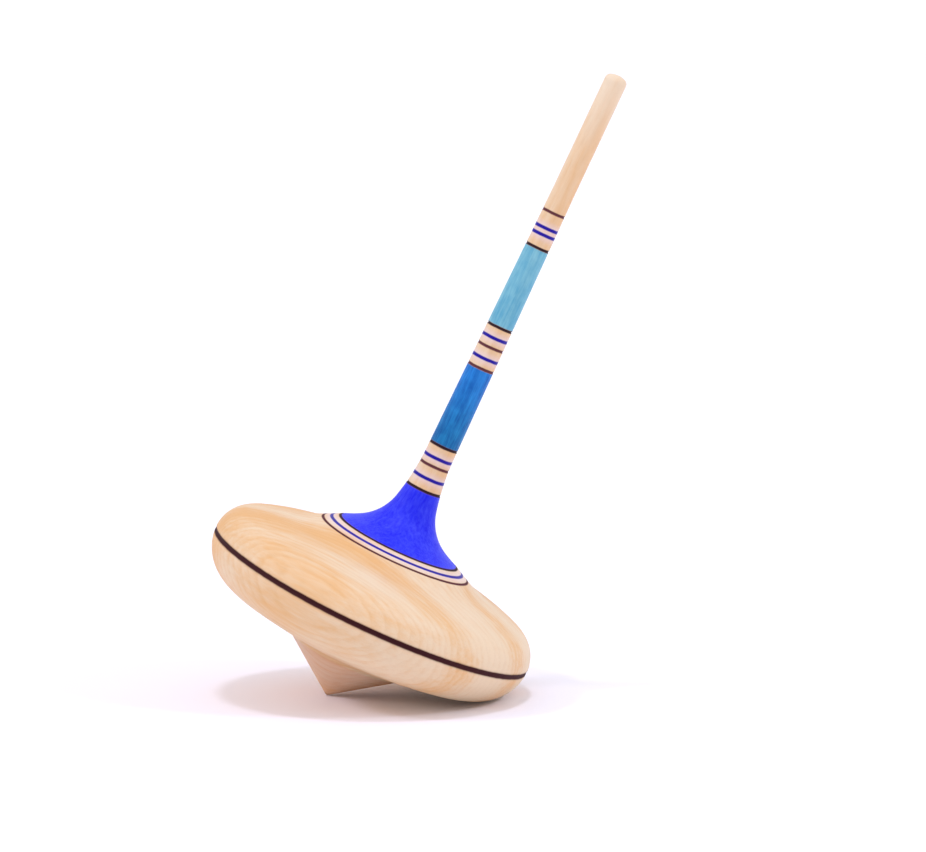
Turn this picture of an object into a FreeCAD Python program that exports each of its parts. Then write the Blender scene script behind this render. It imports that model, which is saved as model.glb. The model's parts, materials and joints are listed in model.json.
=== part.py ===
import FreeCAD, Part
import os
import Sketcher

# A turned wooden spinning top: a long stem with a flared foot, a round-edged disc and a
# cone-shaped point.  The stem's tenon passes through the disc and into the point, and
# glue holds the three together.  Each piece is drawn upright, as half of its outline,
# turned about the spin axis, then leaned over as the top lies at rest: the tip of the
# point at the origin and the edge of the disc on the table, with the stem towards +X.
# Millimetres and degrees.

SHEET = "Dimensions"

DIMENSIONS = [
    # alias, value, meaning
    ("overall_length", 150.0, "tip of the point to the top of the stem, along the spin axis"),
    ("glue_gap", 0.05, "room for glue round the tenon and the foot, on the radius"),
    ("disc_radius", 37.6, "spin axis to the widest part of the disc"),
    ("rim_height", 24.0, "height of the widest part of the disc"),
    ("bilge_radius", 10.0, "arc below the rim, which lies on the table"),
    ("bilge_end_radius", 30.05, "where the bilge meets the underside"),
    ("bilge_end_height", 14.305, "height of that place"),
    ("underside_radius", 300.0, "nearly flat arc across the underside"),
    ("cove_radius", 15.7, "where the underside meets the cove"),
    ("cove_height", 11.05, "height of that place"),
    ("cove_arc_radius", 6.0, "hollow arc between the underside and the point"),
    ("point_radius", 13.3, "rim of the point, at its glued face"),
    ("point_height", 9.95, "height of the glued face of the point"),
    ("tip_rounding", 0.4, "radius of the very tip of the point"),
    ("shoulder_radius", 7.2, "arc above the rim"),
    ("shoulder_end_radius", 33.02, "where the shoulder meets the top face"),
    ("shoulder_end_height", 30.71, "height of that place"),
    ("top_radius", 56.0, "domed arc of the top face"),
    ("valley_radius", 24.7, "where the top face begins to sweep up"),
    ("valley_height", 33.25, "height of that place"),
    ("valley_arc_radius", 26.5, "hollow arc between the top face and the foot"),
    ("seam_radius", 17.4, "edge of the foot, let into the disc"),
    ("seam_height", 36.04, "height of that edge"),
    ("recess_height", 34.0, "floor of the recess that takes the foot"),
    ("foot_radius", 14.05, "outer edge of the flare"),
    ("foot_height", 37.8, "height of that edge"),
    ("skirt_arc_radius", 30.0, "gentle hollow round the foot of the flare"),
    ("skirt_radius", 10.3, "where the gentle hollow ends"),
    ("skirt_height", 39.66, "height of that place"),
    ("flare_arc_radius", 11.8, "main hollow of the flare"),
    ("neck_radius", 4.86, "where the neck begins"),
    ("neck_height", 46.71, "height of that place"),
    ("neck_sweep_radius", 54.4, "long arc that runs the neck into the stem"),
    ("stem_radius", 3.25, "stem at the end of the neck"),
    ("stem_height", 59.85, "height of that place"),
    ("grip_radius", 2.5, "stem between the fingers"),
    ("grip_height", 123.0, "height where the grip begins"),
    ("end_corner_radius", 1.3, "rounding round the end of the stem"),
    ("end_dome_radius", 4.5, "shallow dome across the end of the stem"),
    ("tenon_radius", 4.0, "tenon below the foot"),
    ("tenon_depth", 5.5, "height of the tenon's end, inside the point"),
    ("tenon_chamfer", 0.6, "lead at the tenon's end"),
    ("socket_depth", 5.3, "height of the socket's floor in the point"),
    ("wire_radius", 0.3, "wire that burns the narrow lines"),
    ("burn_depth", 0.12, "depth of the burnt lines"),
    ("rim_wire_radius", 0.8, "cord that burns the broad rim line"),
    ("rim_burn_depth", 0.25, "depth of the rim line"),
    ("rim_line_height", 23.85, "height of the middle of the rim line"),
    ("neck_line", 50.8, "burnt line at the top of the flare"),
    ("lower_stem_line", 56.4, "burnt line in the lower group"),
    ("mid_band_start", 61.1, "burnt line below the middle band"),
    ("mid_band_end", 80.2, "burnt line above the middle band"),
    ("middle_stem_line", 85.2, "burnt line in the middle group"),
    ("upper_band_start", 89.9, "burnt line below the upper band"),
    ("upper_band_end", 109.1, "burnt line above the upper band"),
    ("grip_line", 117.3, "burnt line below the grip"),
]

NECK_LINES = ["neck_line", "lower_stem_line"]
STEM_LINES = [
    "mid_band_start",
    "mid_band_end",
    "middle_stem_line",
    "upper_band_start",
    "upper_band_end",
    "grip_line",
]

LEAN = (
    "atan({0}.rim_height / ({0}.disc_radius - {0}.bilge_radius))"
    " - asin({0}.bilge_radius / sqrt({0}.rim_height ^ 2"
    " + ({0}.disc_radius - {0}.bilge_radius) ^ 2))"
).format(SHEET)


def cell(alias):
    """The name that an expression gives to one cell of the sheet."""
    return SHEET + "." + alias


def make_sheet(doc):
    sheet = doc.addObject("Spreadsheet::Sheet", SHEET)
    for row, (alias, value, meaning) in enumerate(DIMENSIONS, start=1):
        sheet.set("A%d" % row, str(value))
        sheet.setAlias("A%d" % row, alias)
        sheet.set("B%d" % row, meaning)
    doc.recompute()
    return sheet


def half_plane_sketch(body, name):
    """A sketch on the body's XZ plane: its X is the radius and its Y is the height."""
    sketch = body.newObject("Sketcher::SketchObject", name)
    for plane in body.Origin.OriginFeatures:
        if plane.Role == "XZ_Plane":
            sketch.AttachmentSupport = [(plane, "")]
    sketch.MapMode = "FlatFace"
    return sketch


def bind(sketch, constraint, expression):
    """Add a constraint whose value follows an expression."""
    index = sketch.addConstraint(constraint)
    sketch.setExpression("Constraints[%d]" % index, expression)


def place_point(sketch, geometry, position, place):
    """Hold a point of the sketch at its radius and height from the origin."""
    for kind, expression in zip(("DistanceX", "DistanceY"), place):
        if expression == "0":
            axis = -2 if kind == "DistanceX" else -1
            sketch.addConstraint(Sketcher.Constraint("PointOnObject", geometry, position, axis))
        else:
            value = float(sketch.evalExpression(expression))
            distance = Sketcher.Constraint(kind, -1, 1, geometry, position, value)
            bind(sketch, distance, expression)


def arc_between(start, end, radius, hollow):
    """The arc from start to end; the wood lies left of the way, and a hollow bows into it."""
    chord = end - start
    normal = FreeCAD.Vector(-chord.y, chord.x, 0).normalize()
    rise = (radius ** 2 - chord.Length ** 2 / 4) ** 0.5
    centre = (start + end) / 2 + normal * (-rise if hollow else rise)
    circle = Part.Circle(centre, FreeCAD.Vector(0, 0, 1), radius)
    first, last = (end, start) if hollow else (start, end)
    return Part.ArcOfCircle(circle, circle.parameter(first), circle.parameter(last))


def draw_outline(sketch, corners, arcs):
    """Draw the closed outline through the corners, in order round the wood.

    corners holds a pair of expressions, radius and height, for each corner.  arcs maps
    the number of a corner to (radius expression, hollow): the side that leaves that
    corner is then an arc, and every other side is straight.
    """
    places = []
    for place in corners:
        values = [float(sketch.evalExpression(expression)) for expression in place]
        places.append(FreeCAD.Vector(values[0], values[1], 0))
    starts, ends = [], []
    for number, start in enumerate(places):
        end = places[(number + 1) % len(places)]
        if number in arcs:
            expression, hollow = arcs[number]
            radius = float(sketch.evalExpression(expression))
            geometry = sketch.addGeometry(arc_between(start, end, radius, hollow))
            bind(sketch, Sketcher.Constraint("Radius", geometry, radius), expression)
            starts.append((geometry, 2 if hollow else 1))
            ends.append((geometry, 1 if hollow else 2))
        else:
            geometry = sketch.addGeometry(Part.LineSegment(start, end))
            starts.append((geometry, 1))
            ends.append((geometry, 2))
    for number, place in enumerate(corners):
        sketch.addConstraint(Sketcher.Constraint("Coincident", *ends[number - 1], *starts[number]))
        place_point(sketch, *starts[number], place)


def turn(body, feature, sketch):
    """Revolve or groove a sketch once round the spin axis."""
    turned = body.newObject("PartDesign::" + feature, sketch.Name.replace("Outline", feature))
    turned.Profile = (sketch, [""])
    turned.ReferenceAxis = (sketch, ["V_Axis"])
    turned.Angle = 360.0
    return turned


def lean(body):
    """Lean the piece over, about the tip, until the disc's edge lies on the table."""
    turned = FreeCAD.Rotation(FreeCAD.Vector(0, 1, 0), 1.0)
    body.Placement = FreeCAD.Placement(FreeCAD.Vector(0, 0, 0), turned)
    body.setExpression("Placement.Rotation.Angle", LEAN)


def make_piece(doc, label, corners, arcs):
    body = doc.addObject("PartDesign::Body", label.capitalize())
    body.Label = label
    sketch = half_plane_sketch(body, label.capitalize() + "Outline")
    draw_outline(sketch, corners, arcs)
    turn(body, "Revolution", sketch)
    lean(body)
    doc.recompute()
    return body


def burn_lines(doc, body, name, lines):
    """Cut round-bottomed grooves: each line is (radius, height, wire radius) of its wire."""
    before = body.Shape.Volume
    sketch = half_plane_sketch(body, name + "Outline")
    for radius, height, wire in lines:
        values = [float(sketch.evalExpression(text)) for text in (radius, height, wire)]
        centre = FreeCAD.Vector(values[0], values[1], 0)
        circle = Part.Circle(centre, FreeCAD.Vector(0, 0, 1), values[2])
        geometry = sketch.addGeometry(circle)
        place_point(sketch, geometry, 3, (radius, height))
        bind(sketch, Sketcher.Constraint("Radius", geometry, values[2]), wire)
    turn(body, "Groove", sketch)
    doc.recompute()
    if body.Shape.Volume >= before:
        raise RuntimeError(name + " cuts nothing")


def neck_surface(height):
    """Radius of the neck at a height, on its long arc."""
    return (
        "{0}.stem_radius + {0}.neck_sweep_radius"
        " - sqrt({0}.neck_sweep_radius ^ 2 - ({0}.stem_height - {1}) ^ 2)"
    ).format(SHEET, height)


def stem_surface(height):
    """Radius of the stem at a height, on its straight taper."""
    return (
        "{0}.stem_radius - ({0}.stem_radius - {0}.grip_radius)"
        " * ({1} - {0}.stem_height) / ({0}.grip_height - {0}.stem_height)"
    ).format(SHEET, height)


def wire_at(surface, height):
    """A wire held against an upright surface, sunk by the depth of the burn."""
    radius = "{1} + {0}.wire_radius - {0}.burn_depth".format(SHEET, surface)
    return (radius, height, cell("wire_radius"))


def wire_at_corner(radius_alias, height_alias):
    """A wire held against a corner of the foot, whose faces look up and outward."""
    lift = "({0}.wire_radius - {0}.burn_depth)".format(SHEET)
    slope_out = 0.5
    slope_up = 0.866
    radius = "{0} + {1} * {2}".format(cell(radius_alias), slope_out, lift)
    height = "{0} + {1} * {2}".format(cell(height_alias), slope_up, lift)
    return (radius, height, cell("wire_radius"))


def make_spindle(doc):
    """The stem, its flared foot and the tenon below, turned from one stick."""
    tenon_lead = "{0}.tenon_radius - {0}.tenon_chamfer".format(SHEET)
    chamfer_top = "{0}.tenon_depth + {0}.tenon_chamfer".format(SHEET)
    # the dome touches the corner's arc where both tilt this far from the spin axis
    reach = "({0}.end_dome_radius - {0}.end_corner_radius)".format(SHEET)
    tilt_sine = "(({0}.grip_radius - {0}.end_corner_radius) / {1})".format(SHEET, reach)
    tilt_cosine = "sqrt(1 - {0} ^ 2)".format(tilt_sine)
    dome_centre = "{0}.overall_length - {0}.end_dome_radius".format(SHEET)
    corner_start = "{0} + {1} * {2}".format(dome_centre, reach, tilt_cosine)
    dome_edge = cell("end_dome_radius") + " * " + tilt_sine
    dome_start = "{0} + {1} * {2}".format(dome_centre, cell("end_dome_radius"), tilt_cosine)
    corners = [
        ("0", cell("tenon_depth")),
        (tenon_lead, cell("tenon_depth")),
        (cell("tenon_radius"), chamfer_top),
        (cell("tenon_radius"), cell("recess_height")),
        (cell("seam_radius"), cell("recess_height")),
        (cell("seam_radius"), cell("seam_height")),
        (cell("foot_radius"), cell("foot_height")),
        (cell("skirt_radius"), cell("skirt_height")),
        (cell("neck_radius"), cell("neck_height")),
        (cell("stem_radius"), cell("stem_height")),
        (cell("grip_radius"), cell("grip_height")),
        (cell("grip_radius"), corner_start),
        (dome_edge, dome_start),
        ("0", cell("overall_length")),
    ]
    arcs = {
        6: (cell("skirt_arc_radius"), True),
        7: (cell("flare_arc_radius"), True),
        8: (cell("neck_sweep_radius"), True),
        11: (cell("end_corner_radius"), False),
        12: (cell("end_dome_radius"), False),
    }
    body = make_piece(doc, "spindle", corners, arcs)
    lines = [wire_at_corner("seam_radius", "seam_height")]
    lines.append(wire_at_corner("foot_radius", "foot_height"))
    lines += [wire_at(neck_surface(cell(alias)), cell(alias)) for alias in NECK_LINES]
    lines += [wire_at(stem_surface(cell(alias)), cell(alias)) for alias in STEM_LINES]
    burn_lines(doc, body, "SpindleLines", lines)
    return body


def make_disc(doc):
    """The flywheel: bored through for the tenon, with a recess on top for the foot."""
    bore = "{0}.tenon_radius + {0}.glue_gap".format(SHEET)
    recess = "{0}.seam_radius + {0}.glue_gap".format(SHEET)
    corners = [
        (bore, cell("point_height")),
        (cell("point_radius"), cell("point_height")),
        (cell("cove_radius"), cell("cove_height")),
        (cell("bilge_end_radius"), cell("bilge_end_height")),
        (cell("disc_radius"), cell("rim_height")),
        (cell("shoulder_end_radius"), cell("shoulder_end_height")),
        (cell("valley_radius"), cell("valley_height")),
        (recess, cell("seam_height")),
        (recess, cell("recess_height")),
        (bore, cell("recess_height")),
    ]
    arcs = {
        1: (cell("cove_arc_radius"), True),
        2: (cell("underside_radius"), False),
        3: (cell("bilge_radius"), False),
        4: (cell("shoulder_radius"), False),
        5: (cell("top_radius"), False),
        6: (cell("valley_arc_radius"), True),
    }
    body = make_piece(doc, "disc", corners, arcs)
    rim_wire = "{0}.disc_radius + {0}.rim_wire_radius - {0}.rim_burn_depth".format(SHEET)
    rim_line = (rim_wire, cell("rim_line_height"), cell("rim_wire_radius"))
    burn_lines(doc, body, "DiscLines", [rim_line, wire_at_corner("seam_radius", "seam_height")])
    return body


def make_point(doc):
    """The cone that the top spins on, with a socket for the end of the tenon."""
    socket = "{0}.tenon_radius + {0}.glue_gap".format(SHEET)
    side = "sqrt({0}.point_radius ^ 2 + {0}.point_height ^ 2)".format(SHEET)
    # the rounding touches the cone's side where the side's slope meets the tip's arc
    touch = "{0}.tip_rounding * {0}.point_height / {0}.point_radius".format(SHEET)
    touch_radius = "({1}) * {0}.point_radius / ({2})".format(SHEET, touch, side)
    touch_height = "({1}) * {0}.point_height / ({2})".format(SHEET, touch, side)
    tip = "{0}.tip_rounding * (({2}) / {0}.point_radius - 1)".format(SHEET, touch, side)
    corners = [
        ("0", tip),
        (touch_radius, touch_height),
        (cell("point_radius"), cell("point_height")),
        (socket, cell("point_height")),
        (socket, cell("socket_depth")),
        ("0", cell("socket_depth")),
    ]
    return make_piece(doc, "point", corners, {0: (cell("tip_rounding"), False)})


def check(doc, bodies):
    for item in doc.Objects:
        if "Invalid" in item.State or "Error" in item.State:
            raise RuntimeError(item.Name + " is " + str(item.State))
    for body in bodies:
        shape = body.Shape
        if shape.isNull() or not shape.isValid() or len(shape.Solids) != 1:
            raise RuntimeError(body.Label + " isn't one valid solid")
        box = shape.optimalBoundingBox()
        print(body.Label, "volume %.0f mm3" % shape.Volume, "lowest %.3f" % box.ZMin)


def main():
    doc = FreeCAD.newDocument("SpinningTop")
    make_sheet(doc)
    bodies = [make_spindle(doc), make_disc(doc), make_point(doc)]
    doc.recompute()
    check(doc, bodies)
    os.makedirs("parts", exist_ok=True)
    for body in bodies:
        body.Shape.exportStep("parts/%s.step" % body.Label)
    print("lean %.3f degrees" % FreeCAD.Units.Quantity(bodies[0].evalExpression(LEAN)).Value)


main()
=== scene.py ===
import json
import math

import bpy
from mathutils import Matrix, Vector


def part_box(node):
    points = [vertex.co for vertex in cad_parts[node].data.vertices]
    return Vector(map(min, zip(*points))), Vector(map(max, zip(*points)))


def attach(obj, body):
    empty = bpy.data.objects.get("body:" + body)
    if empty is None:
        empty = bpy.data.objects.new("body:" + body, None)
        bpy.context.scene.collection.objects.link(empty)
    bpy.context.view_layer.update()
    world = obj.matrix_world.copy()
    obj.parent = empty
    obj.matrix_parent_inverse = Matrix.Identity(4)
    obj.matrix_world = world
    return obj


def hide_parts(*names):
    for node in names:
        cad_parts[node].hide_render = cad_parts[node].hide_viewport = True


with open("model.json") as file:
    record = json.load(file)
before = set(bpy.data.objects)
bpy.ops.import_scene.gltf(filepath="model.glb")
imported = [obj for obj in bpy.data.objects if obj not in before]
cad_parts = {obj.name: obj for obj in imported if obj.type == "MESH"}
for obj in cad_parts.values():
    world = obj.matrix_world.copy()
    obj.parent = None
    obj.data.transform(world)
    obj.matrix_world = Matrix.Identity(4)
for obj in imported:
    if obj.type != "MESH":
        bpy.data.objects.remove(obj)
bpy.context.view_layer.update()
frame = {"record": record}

MM = 0.001
GRIP = next(mount for mount in frame["record"]["mounts"] if mount["name"] == "stem_grip")
SPIN_AXIS = Vector(GRIP["axis"])
LEAN = math.atan2(SPIN_AXIS.x, SPIN_AXIS.z)
GRIP_RADIUS = GRIP["dims"]["r_mm"]
POINT_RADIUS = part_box("point")[1].y / MM

STEM_TOP = 150.0
GRIP_START = 123.0
NECK_END = (3.25, 59.85)
NECK_SWEEP = 54.4
FOOT = (14.05, 37.8)
SEAM = (17.4, 36.04)
DISC_RADIUS = 37.6
POINT_TOP = 9.95
RECESS_FLOOR = 34.0
TENON_RADIUS = 4.0
TENON_CHAMFER = 0.6
TENON_END = 5.5
SOCKET_FLOOR = 5.3
GLUE_GAP = 0.01  # the joints look shut; the CAD solids leave more room for glue

# the lines and stained bands, as heights but for INK_RING, which lies on the foot
BLACK_LINES = [50.8, 61.1, 89.9, 109.1]
BROWN_LINES = [56.4, 80.2, 85.2, 117.3]
INK_LINES = [53.5, 58.3, 82.5, 87.4, 112.15, 113.7]
INK_RING = (15.72, 36.92)
RIM_LINE = 23.85
FLARE_BAND = (FOOT[1], 50.8)
MIDDLE_BAND = (61.1, 79.9)
UPPER_BAND = (90.2, 108.8)
LINE_WIDTH = 0.6
INK_WIDTH = 0.76
RIM_LINE_WIDTH = 1.2
BURN_DEPTH = 0.12
RIM_BURN_DEPTH = 0.25


# ---------------------------------------------------------------- turned meshes

# steps along an outline: as it is drawn, then as it is meshed away from the lines and at them
DENSE = 0.02
COARSE = 0.3
FINE = 0.07
SHARP_EDGE = math.radians(40)


def straight(start, end):
    """Dense points along a line, after start and up to end."""
    start, end = Vector(start), Vector(end)
    count = max(1, round((end - start).length / DENSE))
    return [start.lerp(end, number / count) for number in range(1, count + 1)]


def arc(start, end, radius, hollow=False):
    """Dense points along an arc; the wood lies left of the way, and a hollow bows into it."""
    start, end = Vector(start), Vector(end)
    chord = end - start
    normal = Vector((-chord.y, chord.x)).normalized()
    rise = math.sqrt(radius ** 2 - chord.length ** 2 / 4)
    centre = (start + end) / 2 + normal * (-rise if hollow else rise)
    first = math.atan2(start.y - centre.y, start.x - centre.x)
    sweep = 2 * math.asin(chord.length / 2 / radius) * (-1 if hollow else 1)
    count = max(2, round(abs(sweep) * radius / DENSE))
    angles = [first + sweep * number / count for number in range(1, count + 1)]
    return [centre + radius * Vector((math.cos(a), math.sin(a))) for a in angles]


def outline(start, *sides):
    """Joins sides into one outline: each is (end,) for a line or (end, radius, hollow)."""
    points, corners = [Vector(start)], [0]
    for end, *bend in sides:
        points += arc(points[-1], end, *bend) if bend else straight(points[-1], end)
        corners.append(len(points) - 1)
    return points, set(corners)


def spindle_outline():
    """From the tenon's end out round the foot, and up the flare and stem to the top."""
    return outline(
        (0, TENON_END),
        ((TENON_RADIUS - TENON_CHAMFER, TENON_END),),
        ((TENON_RADIUS, TENON_END + TENON_CHAMFER),),
        ((TENON_RADIUS, RECESS_FLOOR),),
        ((SEAM[0], RECESS_FLOOR),),
        (SEAM,),
        (FOOT,),
        ((10.3, 39.66), 30.0, True),
        ((4.86, 46.71), 11.8, True),
        (NECK_END, NECK_SWEEP, True),
        ((GRIP_RADIUS, GRIP_START),),
        ((GRIP_RADIUS, 148.467),),
        ((1.688, 149.672), 1.3, False),
        ((0, STEM_TOP), 4.5, False),
    )


def disc_outline():
    """From the bore out along the underside, round the rim and back over the top face."""
    bore = TENON_RADIUS + GLUE_GAP
    recess = SEAM[0] + GLUE_GAP
    return outline(
        (bore, POINT_TOP),
        ((POINT_RADIUS, POINT_TOP),),
        ((15.7, 11.05), 6.0, True),
        ((30.05, 14.305), 300.0, False),
        ((DISC_RADIUS, 24.0), 10.0, False),
        ((33.02, 30.71), 7.2, False),
        ((24.7, 33.25), 56.0, False),
        ((recess, SEAM[1]), 26.5, True),
        ((recess, RECESS_FLOOR),),
        ((bore, RECESS_FLOOR),),
        ((bore, POINT_TOP),),
    )


def point_outline():
    """From the rounded tip up the cone, and in to the socket's floor."""
    socket = TENON_RADIUS + GLUE_GAP
    return outline(
        (0, 0.0995),
        ((0.2396, 0.1793), 0.4, False),
        ((POINT_RADIUS, POINT_TOP),),
        ((socket, POINT_TOP),),
        ((socket, SOCKET_FLOOR),),
        ((0, SOCKET_FLOOR),),
    )


def groove_at(point, lines):
    """How deep the burnt lines cut the outline here: (depth, is a line near)."""
    depth, near = 0.0, False
    for place, width, line_depth in lines:
        reach = (point - place).length / (width / 2)
        near = near or reach < 2.0
        if reach < 1.0:
            depth = max(depth, line_depth * math.cos(reach * math.pi / 2) ** 2)
    return depth, near


def stations(points, corners, lines):
    """Thins the dense outline, finer at the lines, to (point, outward normal, groove)."""
    kept = []
    last = None
    for number, point in enumerate(points):
        depth, near = groove_at(point, lines)
        step = FINE if near else COARSE
        if last is None or number in corners or (point - last).length >= step:
            before, after = points[max(number - 1, 0)], points[min(number + 1, len(points) - 1)]
            way = (after - before).normalized()
            kept.append((point, Vector((way.y, -way.x)), depth))
            last = point
    return kept


def hand_pressure(angle, phase):
    """A burning wire bites a little deeper on some sides of the turning wood."""
    return 1.0 + 0.18 * math.sin(2 * angle + phase) + 0.10 * math.sin(5 * angle + 3 * phase)


def strip(lower, upper, segments):
    """The faces between two rings, each (first vertex, is it a single vertex on the axis)."""
    (low, low_pole), (high, high_pole) = lower, upper
    faces = []
    for number in range(segments):
        after = (number + 1) % segments
        if low_pole:
            faces.append((low, high + after, high + number))
        elif high_pole:
            faces.append((low + number, low + after, high))
        else:
            faces.append((low + number, low + after, high + after, high + number))
    return faces


def turn(name, shape, lines, segments):
    """Turns an outline into a closed mesh, leans it over and makes it an object."""
    points, corners = shape
    closed = (points[0] - points[-1]).length < 1e-6
    rows = stations(points, corners, lines)
    if closed:
        rows.pop()
    verts, rings, faces = [], [], []
    for point, normal, depth in rows:
        on_axis = point.x < 1e-6
        rings.append((len(verts), on_axis))
        for number in range(1 if on_axis else segments):
            angle = 2 * math.pi * number / segments
            bite = depth * hand_pressure(angle, point.y)
            radius, height = point - normal * bite
            verts.append((radius * math.cos(angle), radius * math.sin(angle), height))
    for lower, upper in zip(rings, rings[1:] + (rings[:1] if closed else [])):
        faces += strip(lower, upper, segments)
    mesh = bpy.data.meshes.new(name)
    mesh.from_pydata(verts, [], faces)
    mesh.transform(Matrix.Rotation(LEAN, 4, "Y") @ Matrix.Scale(MM, 4))
    mesh.validate()
    mesh.shade_smooth()
    mesh.set_sharp_from_angle(angle=SHARP_EDGE)
    piece = bpy.data.objects.new(name, mesh)
    bpy.context.scene.collection.objects.link(piece)
    return piece


# ---------------------------------------------------------------- shader building

class Nodes:
    """Short calls for the nodes of one tree.  A value is a number, a colour or a socket."""

    def __init__(self, tree):
        self.tree = tree

    def feed(self, socket, value):
        if isinstance(value, bpy.types.NodeSocket):
            self.tree.links.new(value, socket)
        else:
            socket.default_value = value

    def node(self, kind, inputs=(), **settings):
        node = self.tree.nodes.new("ShaderNode" + kind)
        for key, value in settings.items():
            setattr(node, key, value)
        for key, value in dict(inputs).items():
            self.feed(node.inputs[key], value)
        return node

    def maths(self, operation, *values):
        return self.node("Math", enumerate(values), operation=operation).outputs[0]

    def vector(self, operation, *values):
        node = self.node("VectorMath", enumerate(values), operation=operation)
        return node.outputs["Value" if operation in ("LENGTH", "DISTANCE") else "Vector"]

    def noise(self, place, scale, detail, roughness=0.5):
        """Noise through space, scale lumps to a unit and with that many finer layers on it."""
        inputs = {"Vector": place, "Scale": scale, "Detail": detail, "Roughness": roughness}
        return self.node("TexNoise", inputs).outputs["Fac"]

    def noise_along(self, value, scale):
        """Noise that changes with one number only."""
        node = self.node("TexNoise", {"Scale": scale, "Detail": 1.0}, noise_dimensions="1D")
        self.feed(node.inputs["W"], value)
        return node.outputs["Fac"]

    def centred(self, value, gain):
        """A 0 to 1 value moved to the middle and scaled: -gain / 2 to gain / 2."""
        return self.maths("MULTIPLY_ADD", value, gain, -gain / 2)

    def between(self, value, low, high, to_low=0.0, to_high=1.0, curve="SMOOTHSTEP"):
        """value, taken from low..high to to_low..to_high and held there beyond them."""
        inputs = {"Value": value, "From Min": low, "From Max": high}
        inputs.update({"To Min": to_low, "To Max": to_high})
        return self.node("MapRange", inputs, interpolation_type=curve).outputs["Result"]

    def mix(self, factor, first, second, blend="MIX"):
        """Mixes two colours.  A Mix node's colour sockets share their names: they go by number."""
        node = self.node("Mix", data_type="RGBA", blend_type=blend)
        self.feed(node.inputs[0], factor)
        self.feed(node.inputs[6], first)
        self.feed(node.inputs[7], second)
        return node.outputs[2]


class Paint(Nodes):
    """The nodes of one new material."""

    def __init__(self, name):
        self.material = bpy.data.materials.new(name)
        self.material.use_nodes = True
        super().__init__(self.material.node_tree)
        self.shader = self.tree.nodes["Principled BSDF"]

    def finish(self, colour, roughness, gloss):
        self.feed(self.shader.inputs["Base Color"], colour)
        self.feed(self.shader.inputs["Roughness"], roughness)
        self.shader.inputs["Specular IOR Level"].default_value = gloss
        return self.material


def srgb(red, green, blue):
    """A colour as a camera shows it, 0 to 255, as the linear colour that shaders use."""
    linear = []
    for part in (red, green, blue):
        part /= 255
        linear.append(part / 12.92 if part <= 0.04045 else ((part + 0.055) / 1.055) ** 2.4)
    return (*linear, 1.0)


# ---------------------------------------------------------------- wood

PALE_MAPLE = srgb(232, 207, 175)
WARM_MAPLE = srgb(227, 176, 118)
PORE_BROWN = srgb(126, 80, 44)
RING_SPACING = 1.6
WARM_AGE = 113.0
ERA_LENGTH = 19.0
PLANK_TURN = math.radians(20)
GRAIN_HEIGHT = 0.03 * MM
WAX_GLOSS = 0.18


def upright_place(paint):
    """The place in millimetres with the top stood upright, and its radius and height."""
    place = paint.node("TexCoord").outputs["Object"]
    turned = paint.node("VectorRotate", {"Vector": place, "Angle": -LEAN}, rotation_type="Y_AXIS")
    place = paint.vector("MULTIPLY", turned.outputs[0], (1 / MM, 1 / MM, 1 / MM))
    height = paint.node("SeparateXYZ", {0: place}).outputs["Z"]
    radius = paint.vector("LENGTH", paint.vector("MULTIPLY", place, (1, 1, 0)))
    return place, radius, height


def squeezed(paint, place, fibre, along):
    """The place with its part along the fibres scaled, so that noise is drawn out that way."""
    return paint.vector("MULTIPLY", place, [along if axis == fibre else 1 for axis in range(3)])


def growth(paint, place, fibre, pith):
    """The wood's age, in millimetres from the pith, and how far it is latewood, 0 to 1."""
    slow = squeezed(paint, place, fibre, 0.3)
    sway = paint.centred(paint.noise(slow, 0.03, 2.0), 15.0)
    waver = paint.centred(paint.noise(slow, 0.28, 2.0), 1.6)
    age = paint.vector("DISTANCE", squeezed(paint, place, fibre, 0), pith)
    age = paint.maths("ADD", age, paint.maths("ADD", sway, waver))
    year = paint.maths("FRACT", paint.maths("DIVIDE", age, RING_SPACING))
    late = paint.between(year, 0.15, 0.85)
    return age, paint.maths("SUBTRACT", late, paint.between(year, 0.86, 1.0))


def warmth_of(paint, place, fibre, age, late, warm_end):
    """How warm in tone the wood is, about -1 to 1: eras of rings, clouds and wisps of colour."""
    rate = 2 * math.pi / ERA_LENGTH
    era = paint.maths("COSINE", paint.maths("MULTIPLY_ADD", age, rate, -rate * WARM_AGE))
    patch = paint.noise_along(age, 0.13)
    cloud = paint.noise(squeezed(paint, place, fibre, 0.3), 0.12, 3.0, 0.6)
    wisp = paint.noise(squeezed(paint, place, fibre, 0.12), 0.7, 3.0, 0.65)
    warmth = paint.maths("MULTIPLY_ADD", era, 0.45, paint.centred(cloud, 1.8))
    warmth = paint.maths("ADD", warmth, paint.centred(patch, 0.6))
    warmth = paint.maths("ADD", warmth, paint.centred(wisp, 1.5))
    warmth = paint.maths("MULTIPLY_ADD", late, 0.17, warmth)
    along = paint.node("SeparateXYZ", {0: place}).outputs[fibre]
    return paint.maths("MULTIPLY_ADD", along, -warm_end, warmth)


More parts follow.
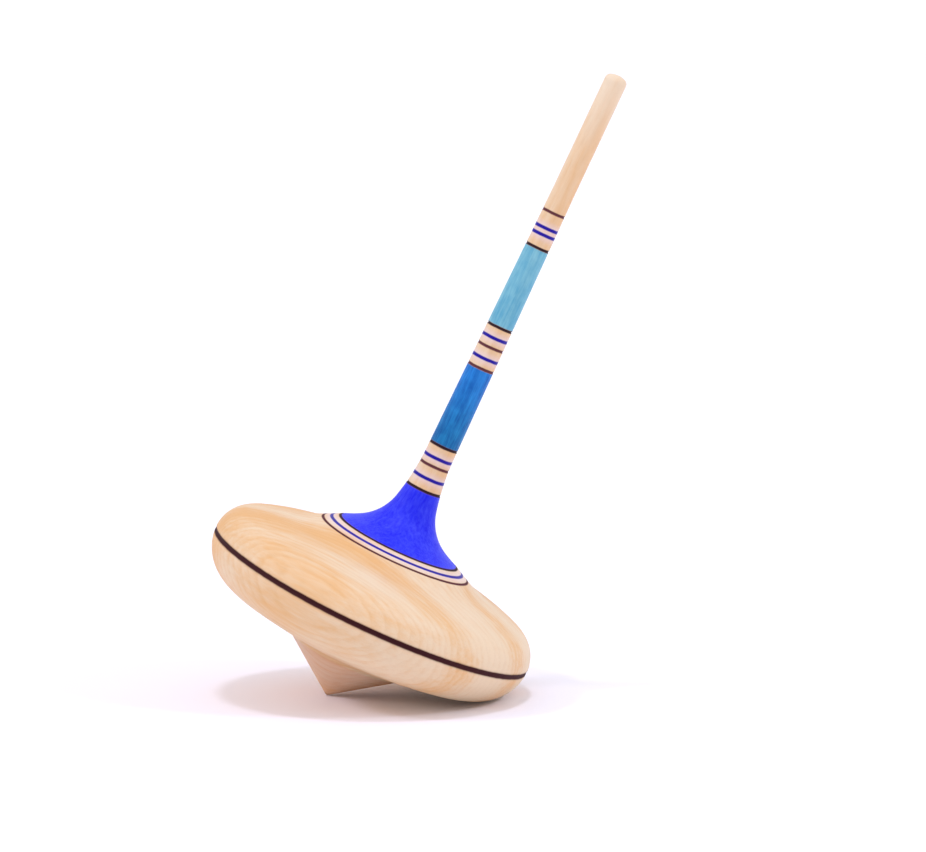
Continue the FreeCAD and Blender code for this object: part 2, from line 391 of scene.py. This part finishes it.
def maple(paint, place, fibre, pith, warm_end):
    """Maple grown round a far pith line: rings, warm and pale zones, fibres and pores.

    fibre is 0 or 2, the axis that the fibres run along, and pith is where the pith line
    crosses the plane across them.  warm_end is how much warmer the wood grows in a
    millimetre against the fibre axis.  Returns (colour, relief).
    """
    age, late = growth(paint, place, fibre, pith)
    warmth = warmth_of(paint, place, fibre, age, late, warm_end)
    colour = paint.mix(paint.between(warmth, -0.9, 1.05), PALE_MAPLE, WARM_MAPLE)
    fine = squeezed(paint, place, fibre, 0.05)
    fibres = paint.centred(paint.noise(fine, 2.6, 3.0, 0.6), 1.0)
    pores = paint.between(paint.noise(fine, 8.0, 1.0), 0.60, 0.72)
    dark = paint.maths("MULTIPLY_ADD", late, 0.025, paint.maths("MULTIPLY", fibres, 0.14))
    dark = paint.maths("MULTIPLY_ADD", pores, 0.05, dark)
    colour = paint.mix(dark, colour, PORE_BROWN)
    relief = paint.maths("MULTIPLY_ADD", pores, -0.5, fibres)
    relief = paint.maths("MULTIPLY_ADD", late, 0.2, relief)
    return colour, relief


def plank_maple(paint, place):
    """The blank that disc and point are cut from: its fibres lie across the spin axis."""
    turned = {"Vector": place, "Angle": PLANK_TURN}
    across = paint.node("VectorRotate", turned, rotation_type="Z_AXIS").outputs[0]
    return maple(paint, across, fibre=0, pith=(0.0, 74.5, 22.0), warm_end=0.012)


def stick_maple(paint, place):
    """The stick that the spindle is turned from: its fibres run along the spin axis."""
    return maple(paint, place, fibre=2, pith=(-26.0, 18.0, 0.0), warm_end=0.0)


def finish_wood(paint, colour, relief, roughness, burnt_mask):
    """Sanded and waxed: satin, a little rougher along the fibres and in the burnt lines."""
    rough = paint.maths("MULTIPLY_ADD", relief, 0.10, roughness)
    rough = paint.maths("MULTIPLY_ADD", burnt_mask, 0.25, rough)
    bump = {"Height": relief, "Distance": GRAIN_HEIGHT, "Strength": 1.0}
    paint.feed(paint.shader.inputs["Normal"], paint.node("Bump", bump).outputs["Normal"])
    return paint.finish(colour, rough, WAX_GLOSS)


# ---------------------------------------------------------------- stain, ink and burnt lines

BLACK_BURN = srgb(46, 20, 28)
BROWN_BURN = srgb(98, 50, 56)
RIM_BURN = srgb(58, 16, 20)
SCORCH = srgb(150, 92, 60)
INK = srgb(30, 8, 146)
INK_BLEED = srgb(230, 208, 214)
INK_BLEED_WIDTH = 2.2
FLARE_BLUE = (srgb(16, 22, 232), srgb(62, 76, 246))
MIDDLE_DEEP = (srgb(2, 84, 152), srgb(6, 94, 178))
MIDDLE_LIGHT = (srgb(34, 138, 196), srgb(44, 142, 228))
UPPER_BLUE = (srgb(88, 164, 196), srgb(134, 196, 212))


def wobble(paint, place, height):
    """The height, thrown off by the unsteadiness of a hand-held pen or wire."""
    drift = paint.maths("SUBTRACT", paint.noise(place, 0.5, 2.0), 0.5)
    return paint.maths("MULTIPLY_ADD", drift, 0.16, height)


def from_height(paint, height, centre):
    """Distance from a level line round the stem or the disc."""
    return paint.maths("ABSOLUTE", paint.maths("SUBTRACT", height, centre))


def from_ring(paint, radius, height, centre):
    """Distance from a ring round the spin axis, at (radius, height)."""
    place = paint.node("CombineXYZ", {0: radius, 1: height}).outputs[0]
    return paint.vector("DISTANCE", place, (*centre, 0))


def all_of(paint, masks):
    """The strongest of several masks."""
    total = masks[0]
    for mask in masks[1:]:
        total = paint.maths("MAXIMUM", total, mask)
    return total


def line_set(paint, distances, width, soft):
    """1 within lines of that width, fading over soft to either side of their edges."""
    edge = (width / 2 + soft, width / 2 - soft)
    return all_of(paint, [paint.between(distance, *edge) for distance in distances])


def band(paint, height, ends, soft):
    """1 between two heights, fading over soft to either side of each."""
    low = paint.between(height, ends[0] - soft, ends[0] + soft)
    high = paint.between(height, ends[1] + soft, ends[1] - soft)
    return paint.maths("MULTIPLY", low, high)


def burnt(paint, colour, distances, width, dark):
    """Lays burnt lines over a colour: a dark core and a brown scorch fading out beside it."""
    halo = line_set(paint, distances, width * 1.25, width * 0.3)
    colour = paint.mix(paint.maths("MULTIPLY", halo, 0.4), colour, SCORCH)
    core = line_set(paint, distances, width, width * 0.15)
    return paint.mix(core, colour, dark), core


def inked(paint, colour, distances):
    """Lays ink lines over a colour, with the pale violet that bled into the wood beside them."""
    bleed = line_set(paint, distances, INK_BLEED_WIDTH, 0.9)
    colour = paint.mix(paint.maths("MULTIPLY", bleed, 0.55), colour, INK_BLEED)
    return paint.mix(line_set(paint, distances, INK_WIDTH, 0.14), colour, INK)


def stained(paint, place, colour, mask, deep, light, streakiness):
    """Soaks a dye into the wood: it takes in streaks along the grain, and in patches."""
    long_way = paint.vector("MULTIPLY", place, (1, 1, 0.09))
    streaks = paint.between(paint.noise(long_way, 1.4, 3.0, 0.65), 0.32, 0.70)
    patches = paint.between(paint.noise(place, 0.35, 2.0), 0.3, 0.7)
    uneven = paint.maths("MULTIPLY_ADD", patches, 0.35, paint.maths("MULTIPLY", streaks, 0.65))
    dye = paint.mix(paint.maths("MULTIPLY", uneven, streakiness), deep, light)
    grain = paint.mix(0.12, dye, colour, "MULTIPLY")
    return paint.mix(mask, colour, grain)


def stained_bands(paint, place, colour, height, drawn):
    """The blue flare, the middle band that brightens as it rises, and the pale upper band."""
    flare = band(paint, drawn, FLARE_BAND, 0.06)
    middle = band(paint, drawn, MIDDLE_BAND, 0.08)
    upper = band(paint, drawn, UPPER_BAND, 0.08)
    rise = paint.between(height, *MIDDLE_BAND)
    middle_blue = paint.mix(rise, *MIDDLE_DEEP), paint.mix(rise, *MIDDLE_LIGHT)
    colour = stained(paint, place, colour, flare, *FLARE_BLUE, streakiness=0.8)
    colour = stained(paint, place, colour, middle, *middle_blue, streakiness=1.0)
    return stained(paint, place, colour, upper, *UPPER_BLUE, streakiness=1.0)


# ---------------------------------------------------------------- materials

# a paler maple mixed into the spindle: a little everywhere, more towards the top of the stem
PALER_TOP_MAPLE = srgb(238, 220, 194)
PALER_TOP_START = 126.0
# painted light: a pinker tint that stands in for light bounced up from the table onto the point
POINT_BOUNCE_TINT = (0.99, 0.91, 0.98, 1.0)
SCUFF_BROWN = srgb(150, 118, 90)
SCUFF_RADIUS = 1.6
SPINDLE_ROUGHNESS = 0.44
DISC_ROUGHNESS = 0.46
POINT_ROUGHNESS = 0.5


def spindle_material():
    paint = Paint("spindle_maple")
    place, radius, height = upright_place(paint)
    colour, relief = stick_maple(paint, place)
    # paler towards the top of the stem
    toward_top = paint.between(height, PALER_TOP_START, STEM_TOP, 0.15, 0.55)
    colour = paint.mix(toward_top, colour, PALER_TOP_MAPLE)
    drawn = wobble(paint, place, height)
    colour = stained_bands(paint, place, colour, height, drawn)
    ink = [from_height(paint, drawn, line) for line in INK_LINES]
    ink.append(from_ring(paint, radius, drawn, INK_RING))
    colour = inked(paint, colour, ink)
    brown = [from_height(paint, drawn, line) for line in BROWN_LINES]
    brown.append(from_ring(paint, radius, drawn, SEAM))
    colour, brown = burnt(paint, colour, brown, LINE_WIDTH, BROWN_BURN)
    black = [from_height(paint, drawn, line) for line in BLACK_LINES]
    black.append(from_ring(paint, radius, drawn, FOOT))
    colour, black = burnt(paint, colour, black, LINE_WIDTH, BLACK_BURN)
    return finish_wood(paint, colour, relief, SPINDLE_ROUGHNESS, all_of(paint, [brown, black]))


def disc_material():
    paint = Paint("disc_maple")
    place, radius, height = upright_place(paint)
    colour, relief = plank_maple(paint, place)
    drawn = wobble(paint, place, height)
    seam = [from_ring(paint, radius, drawn, SEAM)]
    colour, seam = burnt(paint, colour, seam, LINE_WIDTH, BROWN_BURN)
    rim = [from_height(paint, drawn, RIM_LINE)]
    colour, rim = burnt(paint, colour, rim, RIM_LINE_WIDTH, RIM_BURN)
    return finish_wood(paint, colour, relief, DISC_ROUGHNESS, all_of(paint, [seam, rim]))


def point_material():
    """A little pinker than the disc, a painted tint that stands in for light bounced up from the
    table, and scuffed dark and dull at the tip that it spins on.
    """
    paint = Paint("point_maple")
    place, radius, _ = upright_place(paint)
    colour, relief = plank_maple(paint, place)
    # painted light: the pinker tint for light bounced up from the table
    colour = paint.mix(1.0, colour, POINT_BOUNCE_TINT, "MULTIPLY")
    scuff = paint.between(radius, SCUFF_RADIUS, 0.2)
    colour = paint.mix(paint.maths("MULTIPLY", scuff, 0.35), colour, SCUFF_BROWN)
    return finish_wood(paint, colour, relief, POINT_ROUGHNESS, scuff)


# ---------------------------------------------------------------- pieces

def neck_and_stem_radius(height):
    """Surface radius at a height above the flare: the neck's hollow arc, then the taper."""
    radius, end = NECK_END
    if height < end:
        return radius + NECK_SWEEP - math.sqrt(NECK_SWEEP ** 2 - (end - height) ** 2)
    return radius - (radius - GRIP_RADIUS) * (height - end) / (GRIP_START - end)


def make_spindle():
    places = [(neck_and_stem_radius(height), height) for height in BLACK_LINES + BROWN_LINES]
    lines = [(Vector(place), LINE_WIDTH, BURN_DEPTH) for place in places + [SEAM, FOOT]]
    piece = turn("stem_and_foot", spindle_outline(), lines, segments=128)
    piece.data.materials.append(spindle_material())
    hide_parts("spindle")
    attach(piece, "root")


def make_disc():
    lines = [(Vector((DISC_RADIUS, RIM_LINE)), RIM_LINE_WIDTH, RIM_BURN_DEPTH)]
    lines.append((Vector(SEAM), LINE_WIDTH, BURN_DEPTH))
    piece = turn("flywheel_disc", disc_outline(), lines, segments=320)
    piece.data.materials.append(disc_material())
    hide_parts("disc")
    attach(piece, "root")


def make_point():
    piece = turn("spinning_point", point_outline(), [], segments=192)
    piece.data.materials.append(point_material())
    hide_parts("point")
    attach(piece, "root")


# ---------------------------------------------------------------- studio

# metres in the row's frame, degrees, and the lens in millimetres
MIDDLE = Vector((0.0306, -0.006, 0.0603))
VIEW_AZIMUTH = 4.21
VIEW_ELEVATION = 5.63
VIEW_DISTANCE = 0.84
LENS = 151.0
SENSOR_WIDTH = 36.0
FLOOR_REACH = 60.0
LIGHT_DISTANCE = 200.0
COOL_LIGHT = (0.95, 0.98, 1.2)
ROOM_LIGHT = (0.99, 0.99, 1.03, 1.0)


def direction(azimuth, elevation):
    """The way towards something seen from the top, in degrees right of the front and up."""
    azimuth, elevation = math.radians(azimuth), math.radians(elevation)
    level = math.cos(elevation)
    return Vector((math.sin(azimuth) * level, -math.cos(azimuth) * level, math.sin(elevation)))


def make_floor():
    paint = Paint("studio_floor")
    mottle = paint.noise(paint.node("TexCoord").outputs["Object"], 9.0, 3.0)
    colour = paint.mix(mottle, (0.94, 0.91, 0.95, 1), (0.96, 0.93, 0.97, 1))
    roughness = paint.between(mottle, 0.3, 0.7, 0.75, 0.85)
    mesh = bpy.data.meshes.new("floor")
    corners = [(x * FLOOR_REACH, y * FLOOR_REACH, 0) for x, y in [(-1, -1), (1, -1), (1, 1), (-1, 1)]]
    mesh.from_pydata(corners, [], [(0, 1, 2, 3)])
    mesh.materials.append(paint.finish(colour, roughness, 0.1))
    floor = bpy.data.objects.new("floor", mesh)
    bpy.context.scene.collection.objects.link(floor)


def soft_box(name, azimuth, elevation, share, width, height):
    """A soft box LIGHT_DISTANCE away, width by height degrees as the top sees it.

    share is what it adds to a white card that faces it.
    """
    lamp = bpy.data.lights.new(name, "AREA")
    lamp.shape = "RECTANGLE"
    lamp.size = 2 * LIGHT_DISTANCE * math.tan(math.radians(width / 2))
    lamp.size_y = 2 * LIGHT_DISTANCE * math.tan(math.radians(height / 2))
    lamp.energy = math.pi ** 2 * LIGHT_DISTANCE ** 2 * share
    lamp.color = COOL_LIGHT
    light = bpy.data.objects.new(name, lamp)
    towards = direction(azimuth, elevation)
    light.location = MIDDLE + towards * LIGHT_DISTANCE
    light.rotation_euler = towards.to_track_quat("Z", "Y").to_euler()
    bpy.context.scene.collection.objects.link(light)


def make_room():
    """A white room: brightest low on its walls, and darker low down in front of the top."""
    world = bpy.data.worlds.new("studio")
    bpy.context.scene.world = world
    world.use_nodes = True
    room = Nodes(world.node_tree)
    place = room.node("TexCoord").outputs["Generated"]
    way = room.node("SeparateXYZ", {0: place}).outputs
    walls = room.between(way["Z"], 0.02, 0.10, 1.15, 0.82, "LINEAR")
    front = room.between(way["Y"], -0.2, -0.8, 0.0, 0.5, "LINEAR")
    low = room.between(way["Z"], 0.45, 0.15, 0.0, 1.0, "LINEAR")
    shade = room.maths("SUBTRACT", 1.0, room.maths("MULTIPLY", front, low))
    background = world.node_tree.nodes["Background"]
    background.inputs["Color"].default_value = ROOM_LIGHT
    room.feed(background.inputs["Strength"], room.maths("MULTIPLY", walls, shade))


def make_lights():
    """One soft box overhead, a little to the front, and one on each side."""
    soft_box("overhead", azimuth=0.0, elevation=77.0, share=0.21, width=6.0, height=8.0)
    soft_box("left", azimuth=-67.0, elevation=43.0, share=0.18, width=6.0, height=6.0)
    soft_box("right", azimuth=68.0, elevation=38.0, share=0.165, width=7.0, height=7.0)


def make_camera():
    """The camera looks at the middle of the top, slightly from the right and from above."""
    back = direction(VIEW_AZIMUTH, VIEW_ELEVATION)
    data = bpy.data.cameras.new("camera")
    data.lens = LENS
    data.sensor_width = SENSOR_WIDTH
    camera = bpy.data.objects.new("camera", data)
    camera.location = MIDDLE + back * VIEW_DISTANCE
    camera.rotation_euler = (-back).to_track_quat("-Z", "Y").to_euler()
    bpy.context.scene.collection.objects.link(camera)
    bpy.context.scene.camera = camera


make_spindle()
make_disc()
make_point()
make_floor()
make_lights()
make_room()
make_camera()
bpy.context.scene.view_settings.view_transform = "Standard"
